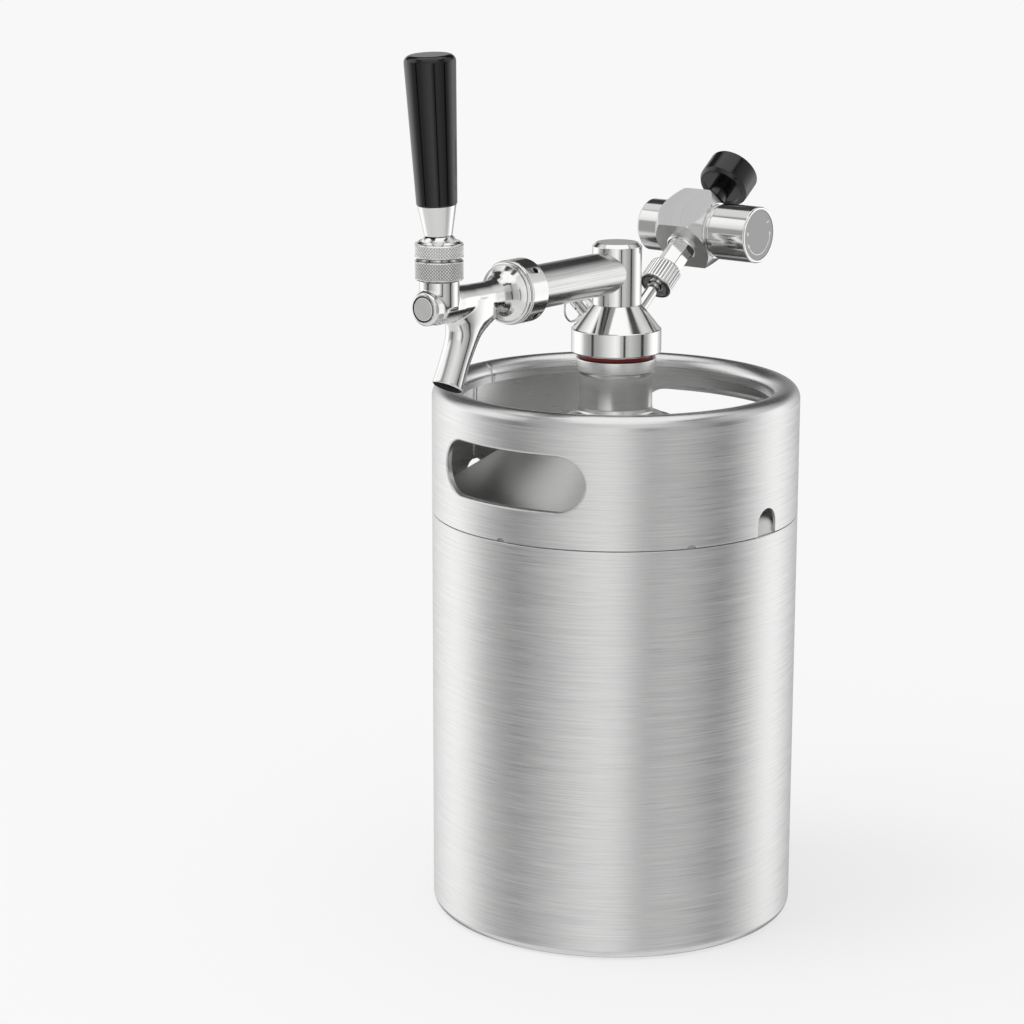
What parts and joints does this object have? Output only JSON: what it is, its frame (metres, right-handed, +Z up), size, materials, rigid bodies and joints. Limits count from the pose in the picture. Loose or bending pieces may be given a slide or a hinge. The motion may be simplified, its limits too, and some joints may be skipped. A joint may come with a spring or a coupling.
{
  "type": "mini keg beer dispenser",
  "caption": "Stainless mini keg with a screw-on dispensing head: pull tap, relief valve and gas regulator with gauge and knob.",
  "frame": {"origin": "keg's axis on the plane that the keg stands on", "axes": "+Z up the keg's axis, -Y towards the tap, +X towards the pressure knob"},
  "size_m": [0.17, 0.2452, 0.4114],
  "materials": {
    "keg_steel": "horizontal brushing, satin",
    "machined_steel": "turned and welded",
    "polished_steel": "polished",
    "knurled_steel": "fine knurl, polished",
    "inner_steel": "drawn",
    "dark_steel": "turned",
    "red_rubber": "dark red silicone",
    "black_rubber": "matt",
    "white_plastic": "moulded",
    "black_gloss": "high gloss",
    "black_satin": "fine satin",
    "brass": "turned",
    "grey_plate": "fine grained",
    "dial_white": "printed",
    "needle_black": "painted",
    "clear_glass": "clear"
  },
  "bodies": {
    "keg": {"keg_body": "keg_steel", "top_dome": "keg_steel", "top_chime": "keg_steel", "neck": "machined_steel"},
    "head": {"head_cap": "polished_steel", "cap_seal": "red_rubber", "tower": "polished_steel", "dip_tube": "inner_steel", "dip_tube_foot": "white_plastic", "arm_tube": "polished_steel", "coupling_nut": "polished_steel", "faucet_washer": "black_rubber", "faucet_body": "polished_steel", "faucet_end_cap": "dark_steel", "neck_ring": "knurled_steel", "bonnet": "knurled_steel", "relief_body": "polished_steel", "relief_spring": "inner_steel", "gas_stem": "polished_steel"},
    "lever": {"lever": "polished_steel", "handle_ferrule": "polished_steel", "handle_grip": "black_gloss"},
    "shaft": {"valve_shaft": "inner_steel", "shaft_seal": "black_rubber"},
    "relief_plunger": {"relief_plunger": "polished_steel", "relief_seal": "black_rubber"},
    "pull_ring": {"pull_ring": "polished_steel"},
    "gas_nut": {"gas_nut": "knurled_steel"},
    "regulator": {"stem_seal": "black_rubber", "gas_nipple": "polished_steel", "regulator_body": "polished_steel", "diaphragm": "black_rubber", "adjusting_spring": "inner_steel", "poppet": "brass", "cartridge_socket": "polished_steel", "cartridge_seal": "black_rubber", "piercing_pin": "inner_steel", "gauge_stem": "black_satin", "gauge_case": "black_satin", "gauge_dial": "dial_white", "gauge_lens": "clear_glass", "gauge_bezel": "black_satin"},
    "knob": {"regulator_knob": "polished_steel", "knob_plate": "grey_plate", "adjusting_screw": "inner_steel"},
    "needle": {"gauge_needle": "needle_black"}
  },
  "joints": [
    {"name": "head_lift", "type": "slide", "parent": "keg", "child": "head", "axis": [0, 0, 1], "range_m": [0, 0.26]},
    {"name": "lever_pull", "type": "hinge", "parent": "head", "child": "lever", "pos_m": [0, -0.127, 0.3263], "axis": [1, 0, 0], "range_deg": [0, 18]},
    {"name": "shaft_slide", "type": "slide", "parent": "head", "child": "shaft", "axis": [0, 1, 0], "range_m": [0, 0.0078]},
    {"name": "relief_lift", "type": "slide", "parent": "head", "child": "relief_plunger", "axis": [-0.766, 0, 0.6428], "range_m": [0, 0.0022], "stiffness_N_per_m": 500, "springref_m": -0.001, "deforming": ["relief_spring"]},
    {"name": "ring_swing", "type": "hinge", "parent": "relief_plunger", "child": "pull_ring", "pos_m": [-0.02494, 0, 0.28929], "axis": [0, 1, 0], "range_deg": [-12, 100]},
    {"name": "gas_nut_turn", "type": "hinge", "parent": "head", "child": "gas_nut", "pos_m": [0, 0.03387, 0.29434], "axis": [0, 0.7986, 0.6018], "continuous": true},
    {"name": "regulator_lift", "type": "slide", "parent": "head", "child": "regulator", "axis": [0, 0.7986, 0.6018], "range_m": [0, 0.05]},
    {"name": "knob_turn", "type": "hinge", "parent": "regulator", "child": "knob", "pos_m": [0, 0.06142, 0.3151], "axis": [1, 0, 0], "range_deg": [0, 1080]},
    {"name": "needle_sweep", "type": "hinge", "parent": "regulator", "child": "needle", "pos_m": [0, 0.09057, 0.33707], "axis": [0, 0.7986, 0.6018], "range_deg": [-270, 0]}
  ],
  "couplings": [
    {"joint": "shaft_slide", "follows": "lever_pull", "m_per_rad": 0.0239}
  ]
}
